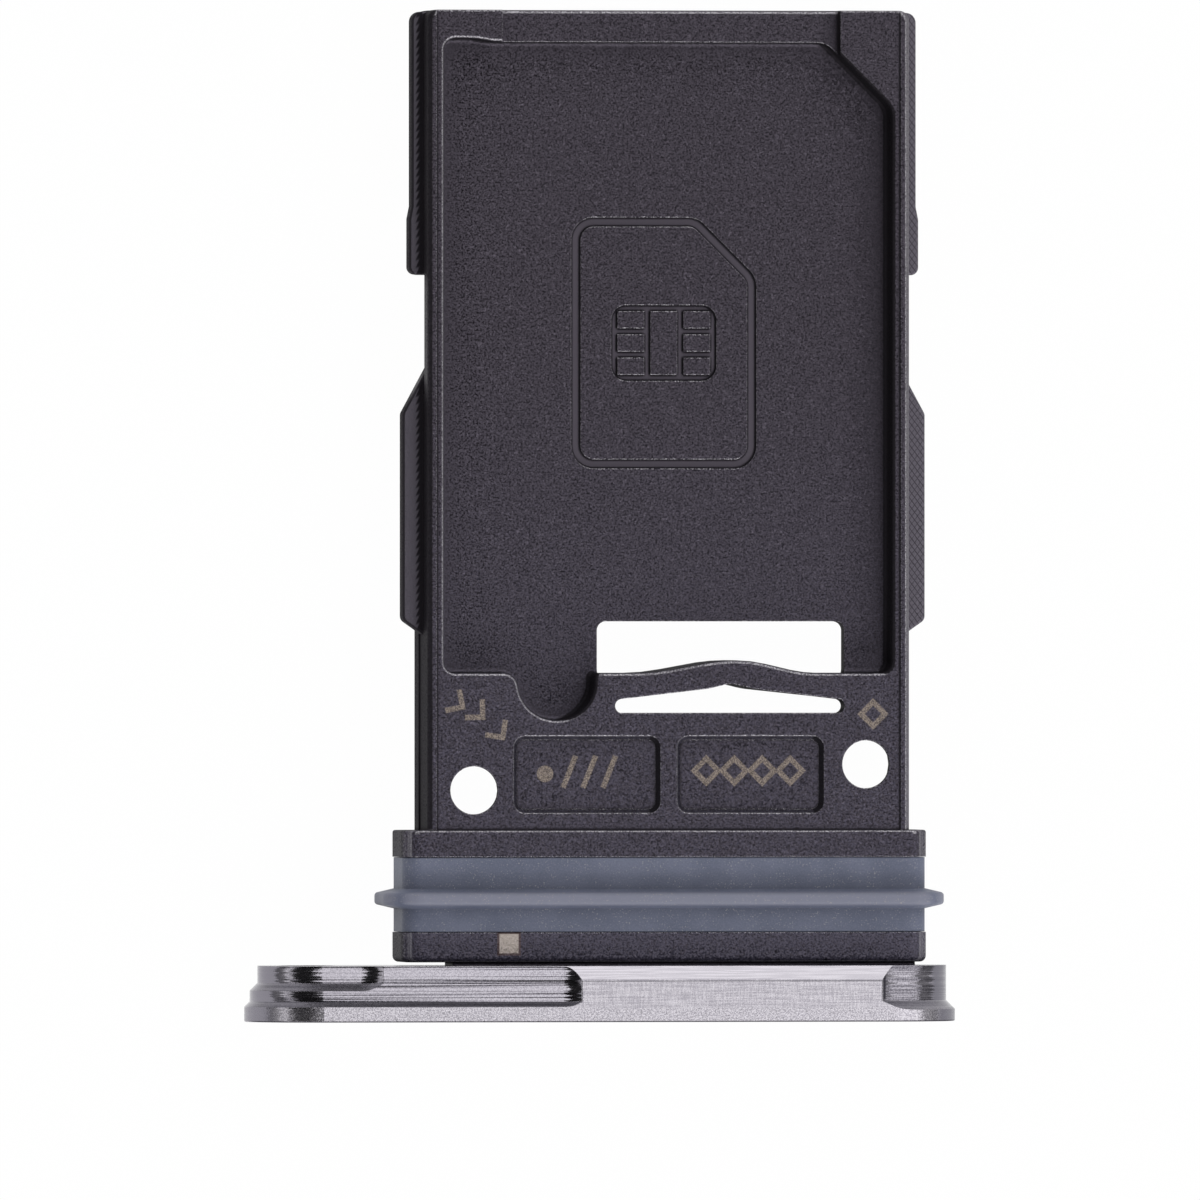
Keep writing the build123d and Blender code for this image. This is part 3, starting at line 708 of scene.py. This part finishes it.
def carrier_coat():
    material, graph = new_material("carrier_coat")
    point, x, y, z = place(graph)
    true_normal, across, _, up = facing(graph)
    soft_normal = rounded(graph, COAT_EDGE)
    near_sky = openness(graph, CORNER_REACH)
    wide_sky = openness(graph, OPEN_REACH)
    wrinkle = noise(graph, point, WRINKLES, detail=1.0)
    fine = noise(graph, point, FINE_GRAINS, detail=0.0)

    out = abs(x - MIDDLE_X) - RAIL_HALF
    right = x.fade(MIDDLE_X, MIDDLE_X + RIGHT_BLUR)
    collar = y.fade(COLLAR_REAR + COLLAR_BLUR, COLLAR_REAR)
    turned_left = across.fade(*LEFT_TILT) * (1 - collar)
    groove = groove_mask(x, y, z)
    wing = wing_mask(x, z)
    # rims turned to the left, away from the lamps, get none of the alloy specks, which are partly painted
    # glints
    rim = rim_mask(y, z) * (1 - turned_left)
    smooth = groove.most(wing * WING_SMOOTHNESS).most(rim)
    # painted shade: corners that neighbours hide from the sky, and the ragged shadow of the rail on the
    # left-hand wings
    corner = near_sky.fade(*CORNER_SKY).most(wing * rail_shade(x, y, out, right))
    open_edges = near_sky.fade(*EDGE_SKY) * (1 - wing)
    wear_and_glints = wear_and_glint_mask(graph, soft_normal, true_normal, fine, rim, open_edges)
    mark = laser_marks(x, y, z)

    base = coat_colour(graph, wrinkle, fine, y, smooth)
    base = graph.mix(groove, base, GROOVE_TONE)
    # painted shade: the left-hand wings get less of the pale colour, as the light comes from the right
    wing_cover = wing * (LEFT_WING_SHADED_COVER + (1 - LEFT_WING_SHADED_COVER) * right)
    base = graph.mix(wing_cover, base, wing_colour(graph, x, y, right))
    # painted shade in corners and beside the left rail
    base = graph.mix(corner, base, CORNER_SHADE_TONE)
    # bare alloy on rims and edges: partly wear, partly painted glints
    base = graph.mix(wear_and_glints, base, ALLOY)
    base = add_marks(graph, base, mark, fine, x, y, z)

    lean = GRAIN_LEAN * (1 - smooth * SMOOTHING) * wide_sky.fade(*GRAIN_SKY)
    grain = flecks(graph, point, LEANING_GRAINS, lean)
    side = side_mask(y, up, out, right, turned_left, collar)
    finish(graph, {
        "Base Color": base,
        "Metallic": wear_and_glints,
        "Roughness": COAT_ROUGHNESS + MARK_ROUGHER * mark + CORNER_ROUGHER * corner,
        "Specular IOR Level": COAT_GLOSS,
        "Specular Tint": GLOSS_TINT,
        "Normal": tilted(graph, soft_normal, grain),
    }, dull=side.most(corner * CORNER_DULLNESS) * SIDE_DULLNESS, dull_colour=SIDE_TONE)
    return material


dress("carrier", carrier_coat())

# %% [markdown]
# ## The silicone seal
# The ring is moulded in blue-grey silicone. It is smooth and a little cloudy, and it picks up dust. The
# crest of its rib is painted pale, a painted highlight, and places that neighbours hide from the sky are
# painted darker, a painted shade. The crest is what stands proud of the ring, so height above the ring and
# reach past its sides find it. Real silicone lets a little light in. At this size that hardly shows, so a
# plain surface with cloudy colour takes its place.

# %% Seal finish
SILICONE = colour(92, 98, 118)
SILICONE_PALE = colour(112, 117, 137)
SILICONE_SHADE = colour(56, 60, 76)
CREST_HIGHLIGHT_TONE = colour(126, 128, 144)
DUST = colour(150, 148, 150)
SEAL_HALF_HEIGHT = 0.90
SEAL_MIDDLE_X = 1.185
SEAL_HALF = 5.23
SEAL_EDGE = 0.03
SEAL_REACH = 0.4
SEAL_ROUGHNESS = 0.46
DUST_ROUGHER = 0.2
CLOUDS = 1.4
CLOUD_FADE = (0.3, 0.7)
DUST_GRAINS = 34.0
DUST_FADE = (0.64, 0.70)
LINT = 9.0
LINT_STRETCH = (0.5, 1.0, 1.0)
LINT_FADE = (0.42, 0.55)
CREST_HEIGHTS = (SEAL_HALF_HEIGHT + 0.20, SEAL_HALF_HEIGHT + 0.33)
CREST_REACHES = (SEAL_HALF + 0.10, SEAL_HALF + 0.30)
CREST_HIGHLIGHT_COVER = 0.85
SHADE_SKY = (0.9, 0.45)
SHADE_COVER = 0.75
SEAL_FLECKS = 20.0
SEAL_LEAN = 0.25


def silicone():
    material, graph = new_material("silicone")
    point, x, _, z = place(graph)
    soft_normal = rounded(graph, SEAL_EDGE)
    open_sky = openness(graph, SEAL_REACH)
    cloud = noise(graph, point, CLOUDS, detail=3.0)
    fine = noise(graph, point, DUST_GRAINS, detail=1.0)
    lint = noise(graph, point, LINT, detail=2.0, stretch=LINT_STRETCH)

    above = abs(z - MIDDLE_Z).fade(*CREST_HEIGHTS)
    beside = abs(x - SEAL_MIDDLE_X).fade(*CREST_REACHES)
    cloudy = (cloud.fade(*CLOUD_FADE) + fine.fade(*CLOUD_FADE)) * 0.5
    base = graph.mix(cloudy, SILICONE, SILICONE_PALE)
    # painted highlight: the crest of the rib is painted paler
    base = graph.mix(above.most(beside) * CREST_HIGHLIGHT_COVER, base, CREST_HIGHLIGHT_TONE)
    # painted shade: places that neighbours hide from the sky are painted darker
    base = graph.mix(open_sky.fade(*SHADE_SKY) * SHADE_COVER, base, SILICONE_SHADE)
    base = graph.mix(fine.fade(*DUST_FADE) * lint.fade(*LINT_FADE), base, DUST)
    finish(graph, {
        "Base Color": base,
        "Roughness": SEAL_ROUGHNESS + DUST_ROUGHER * fine,
        "Normal": tilted(graph, soft_normal, flecks(graph, point, SEAL_FLECKS, SEAL_LEAN)),
    })
    return material


dress("seal", silicone())

# %% [markdown]
# ## The milled plate
# The plate is aluminium. Its steps were cut by a mill that ran along the plate and round its ends, and each
# pass left a line that leans a little to one side. So the finish tilts the normal along X by an amount that
# changes only from line to line. On the flat it reads as fine lines, and on the round ends each line
# mirrors the dark gap between the lamps at a slightly different place, which gives the streaks their ragged
# ends. Streaks in the colour would be simpler, but they would stay when the lamps move. The flat land
# carries finer lines both ways, and the front and its rim are blasted, with an even grain. The round ends
# mirror the white table, so they are painted darker, the right end more than the left, as painted shade.
# Steep slopes that face the inner end are painted darker too, and a thin dark line on the wall at the left
# side of the boss is painted shade.

# %% Milled surface
PLATE_EDGE = 0.015
LAND_LEAN = 0.04
STEP_LEAN = 0.6
GRIT = 30.0
GRIT_LEAN = 0.10
RIM_GRIT_LEAN = 0.12


def milled_normal(graph, point, passes, steps, rim):
    """Lines that lean to one side or the other, most on the steps, and a fine grit."""
    lean = (passes - 0.5) * (LAND_LEAN + STEP_LEAN * steps)
    sideways = graph.add("ShaderNodeCombineXYZ", {}, {0: lean})
    grit = flecks(graph, point, GRIT, GRIT_LEAN + RIM_GRIT_LEAN * rim)
    return tilted(graph, tilted(graph, rounded(graph, PLATE_EDGE), sideways), grit)


print("plate edges soften over", PLATE_EDGE, "mm")

# %% Milled colour
STEP_TONE = colour(194, 190, 199)
STEP_DEEP = colour(100, 97, 106)
PASS_FADE = (0.60, 0.38)
PASS_SHARE = 0.65
WOVEN_UPRIGHT = 0.3
WOVEN_THREADS = 0.4
WOVEN_SPECKLE = 0.45
BEVEL_DULLNESS = 0.25
BEVEL_THREADS = 0.3


def dips(texture, spread):
    """1 in the dips of a texture and 0 on its crests, with a change as wide as twice the spread."""
    return texture.fade(0.5 + spread, 0.5 - spread)


def land_dullness(speckle, threads, upright, flat_side, rim, bevel):
    """Crossed threads on the flat land, an even grain on the rim and long threads on the bevel."""
    woven = dips(upright, 0.10) * WOVEN_UPRIGHT + dips(threads, 0.12) * WOVEN_THREADS
    woven = woven + dips(speckle, 0.10) * WOVEN_SPECKLE
    blasted = dips(speckle, 0.14)
    brushed = BEVEL_DULLNESS + BEVEL_THREADS * dips(threads, 0.10)
    return (woven * flat_side * (1 - rim) + blasted * rim + bevel * brushed).least(1.0)


def step_colour(graph, passes, speckle):
    lines = passes.fade(*PASS_FADE) * PASS_SHARE + dips(speckle, 0.12) * (1 - PASS_SHARE)
    return graph.mix(lines, STEP_TONE, STEP_DEEP)


print("lines make", PASS_SHARE, "of the steps' pattern")

# %% Thin dark lines
LINE_TONE = colour(52, 50, 57)
BEVEL_START = -9.195
BEVEL_LINE_HALF = 0.006
FRONT_EDGE_FADE = (-9.972, -9.987)
FRONT_EDGE_TILT = (0.1, 0.4)
BOSS_LEFT = 5.49
BOSS_LINE_HALF = 0.025
BOSS_LINE_BLUR = 0.015
BOSS_FRONT_FADE = (-9.60, -9.54)


def dark_lines(x, y, up, flat_side, bevel, steps):
    """Lines where the bevel starts and along the front edge, and painted shade on the wall at the left side
    of the boss.
    """
    bevel_line = inside(abs(y - BEVEL_START) - BEVEL_LINE_HALF) * flat_side.most(bevel)
    edge_line = y.fade(*FRONT_EDGE_FADE) * abs(up).fade(*FRONT_EDGE_TILT)
    boss_side = inside(abs(x - BOSS_LEFT) - BOSS_LINE_HALF, BOSS_LINE_BLUR)
    # painted shade on the wall at the left side of the boss
    boss_wall_shade = boss_side * steps * y.fade(*BOSS_FRONT_FADE)
    return bevel_line.most(edge_line).most(boss_wall_shade)


print("bevel starts at y =", BEVEL_START, "mm")

# %% Plate finish
PLATE_TONE = colour(222, 218, 225)
PLATE_DEEP = colour(170, 166, 175)
SLOPE_SHADE_TONE = colour(84, 82, 90)
SLOPE_TILT = (0.45, 0.60)
SLOPE_SHADE_COVER = 0.7
LEFT_END_SHADE = colour(134, 131, 140)
LEFT_END_TILT = (-0.60, -0.76)
RIGHT_END_SHADE = colour(118, 116, 125)
RIGHT_END_TILT = (0.50, 0.74)
FLAT_SIDE_FADE = (1.37, 1.385)
RIM_FADE = (-9.705, -9.745)
BEVEL_TILT_LOW = (0.26, 0.32)
BEVEL_TILT_HIGH = (0.44, 0.38)
PLATE_ROUGHNESS = 0.14
LAND_ROUGHER = 0.10
SPECKLE_ROUGHER = 0.06
LINE_DULLNESS = 0.92
SPECKLES = 36.0
PASSES = 30.0
PASS_STRETCH = (0.004, 1.0, 0.004)
THREADS = 36.0
THREAD_STRETCH = (0.03, 1.0, 0.03)
UPRIGHTS = 44.0
UPRIGHT_STRETCH = (1.0, 0.08, 0.08)


def milled_plate():
    material, graph = new_material("milled_plate")
    point, x, y, z = place(graph)
    _, across, along, up = facing(graph)
    speckle = noise(graph, point, SPECKLES, detail=1.0)
    passes = noise(graph, point, PASSES, detail=2.0, stretch=PASS_STRETCH)
    threads = noise(graph, point, THREADS, detail=1.0, stretch=THREAD_STRETCH)
    upright = noise(graph, point, UPRIGHTS, detail=0.0, stretch=UPRIGHT_STRETCH)

    flat_side = abs(z - MIDDLE_Z).fade(*FLAT_SIDE_FADE)
    rim = y.fade(*RIM_FADE)
    bevel = along.fade(*BEVEL_TILT_LOW) * along.fade(*BEVEL_TILT_HIGH)
    steps = 1 - flat_side.most(rim).most(bevel)

    dull = land_dullness(speckle, threads, upright, flat_side, rim, bevel)
    base = graph.mix(dull, PLATE_TONE, PLATE_DEEP)
    base = graph.mix(steps, base, step_colour(graph, passes, speckle))
    # painted shade: steep slopes that face the inner end are painted darker
    base = graph.mix(along.fade(*SLOPE_TILT) * SLOPE_SHADE_COVER, base, SLOPE_SHADE_TONE)
    # painted shade: the round ends are painted darker, the right more than the left
    base = graph.mix(across.fade(*LEFT_END_TILT), base, LEFT_END_SHADE)
    base = graph.mix(across.fade(*RIGHT_END_TILT), base, RIGHT_END_SHADE)
    line = dark_lines(x, y, up, flat_side, bevel, steps)
    finish(graph, {
        "Base Color": base,
        "Metallic": 1.0,
        "Roughness": PLATE_ROUGHNESS + LAND_ROUGHER * rim.most(flat_side) + SPECKLE_ROUGHER * speckle,
        "Normal": milled_normal(graph, point, passes, steps, rim),
    }, dull=line * LINE_DULLNESS, dull_colour=LINE_TONE)
    return material


dress("face_plate", milled_plate())

# %% [markdown]
# ## Measure and finish
# Finishes change no shape, so the box round the dressed tray has to equal the box round the imported model.
# Both are measured, and the change in size is printed.

# %% Measure and finish
low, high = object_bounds()
change = [(b - a) - (d - c) for a, b, c, d in zip(low, high, cad_low, cad_high)]
print("size change in mm:", [round(value / MM, 4) for value in change])
